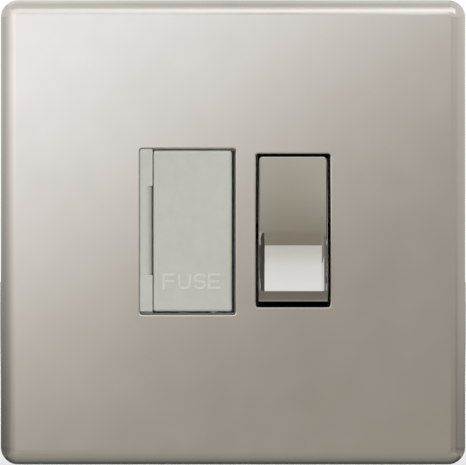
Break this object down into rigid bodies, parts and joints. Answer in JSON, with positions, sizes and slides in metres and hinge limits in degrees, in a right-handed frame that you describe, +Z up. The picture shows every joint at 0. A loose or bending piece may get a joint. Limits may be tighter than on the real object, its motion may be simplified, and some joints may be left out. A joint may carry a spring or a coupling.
{
  "type": "fused spur unit",
  "caption": "Square screwless wall plate carrying a hinged fuse carrier beside a rocker switch, with the switch, fuse contacts and terminals in a housing behind it.",
  "frame": {"origin": "midway between the two wall-fixing holes, on the wall plane behind the plate", "axes": "+Z up the wall, +X to the right seen from the room, +Y into the wall"},
  "size_m": [0.086, 0.0321, 0.086],
  "materials": {
    "polished_nickel": "polished warm nickel",
    "rocker_nickel": "polished warm nickel plating",
    "pale_grey_plastic": "light grey, fine matt texture",
    "black_plastic": "black moulding",
    "white_plastic": "white moulding",
    "zinc_steel": "zinc-plated sheet steel",
    "screw_steel": "zinc-plated screws",
    "spring_steel": "drawn spring wire",
    "brass": "turned and cut brass",
    "tinned_copper": "copper alloy strip",
    "silver": "silver contact buttons",
    "fuse_ceramic": "glazed tube, modelled as gloss plastic",
    "cap_metal": "nickel-plated fuse caps"
  },
  "bodies": {
    "fixed": {"base_housing": "white_plastic", "contact_tips": "silver", "earth_rivets": "brass", "earth_strap_lower": "brass", "earth_strap_upper": "brass", "front_housing": "black_plastic", "front_plate": "polished_nickel", "fulcrum_line": "brass", "fulcrum_neutral": "brass", "fuse_contact_lower": "tinned_copper", "fuse_contact_upper": "tinned_copper", "fuse_frame": "pale_grey_plastic", "line_link": "brass", "load_link": "brass", "neutral_link": "brass", "plate_clip_frame": "white_plastic", "supply_contact_line": "brass", "supply_contact_neutral": "brass", "terminal_earth_lower": "brass", "terminal_earth_upper": "brass", "terminal_load_line": "brass", "terminal_load_neutral": "brass", "terminal_screws": "screw_steel", "terminal_supply_line": "brass", "terminal_supply_neutral": "brass", "yoke": "zinc_steel", "yoke_screws": "screw_steel"},
    "carrier": {"fuse_carrier": "pale_grey_plastic", "fuse_tube": "fuse_ceramic", "fuse_cap_upper": "cap_metal", "fuse_cap_lower": "cap_metal"},
    "rocker": {"rocker_cap": "rocker_nickel", "rocker_core": "black_plastic", "plunger_spring_line": "spring_steel", "plunger_spring_neutral": "spring_steel"},
    "plunger_a": {"plunger_line": "white_plastic"},
    "plunger_b": {"plunger_neutral": "white_plastic"},
    "seesaw_a": {"moving_contact_line": "tinned_copper"},
    "seesaw_b": {"moving_contact_neutral": "tinned_copper"}
  },
  "joints": [
    {"name": "carrier_hinge", "type": "hinge", "parent": "fixed", "child": "carrier", "pos_m": [-0.0036, -0.0029, 0.0001], "axis": [0, 0, 1], "range_deg": [0, 90]},
    {"name": "rocker_pivot", "type": "hinge", "parent": "fixed", "child": "rocker", "pos_m": [0.0111, 0.0002, 0.00035], "axis": [1, 0, 0], "range_deg": [0, 16]},
    {"name": "plunger_line_slide", "type": "slide", "parent": "rocker", "child": "plunger_a", "axis": [0, 0.9903, -0.1392], "range_m": [-0.0008, 0], "stiffness_N_per_m": 200, "springref_m": 0.002, "deforming": ["plunger_spring_line"]},
    {"name": "plunger_neutral_slide", "type": "slide", "parent": "rocker", "child": "plunger_b", "axis": [0, 0.9903, -0.1392], "range_m": [-0.0008, 0], "stiffness_N_per_m": 200, "springref_m": 0.002, "deforming": ["plunger_spring_neutral"]},
    {"name": "seesaw_line_pivot", "type": "hinge", "parent": "fixed", "child": "seesaw_a", "pos_m": [0.0081, 0.0137, 0.00035], "axis": [1, 0, 0], "range_deg": [-16, 0]},
    {"name": "seesaw_neutral_pivot", "type": "hinge", "parent": "fixed", "child": "seesaw_b", "pos_m": [0.0141, 0.0137, 0.00035], "axis": [1, 0, 0], "range_deg": [-16, 0]}
  ],
  "couplings": [
    {"joint": "seesaw_line_pivot", "follows": "rocker_pivot", "ratio": -1},
    {"joint": "seesaw_neutral_pivot", "follows": "rocker_pivot", "ratio": -1}
  ]
}
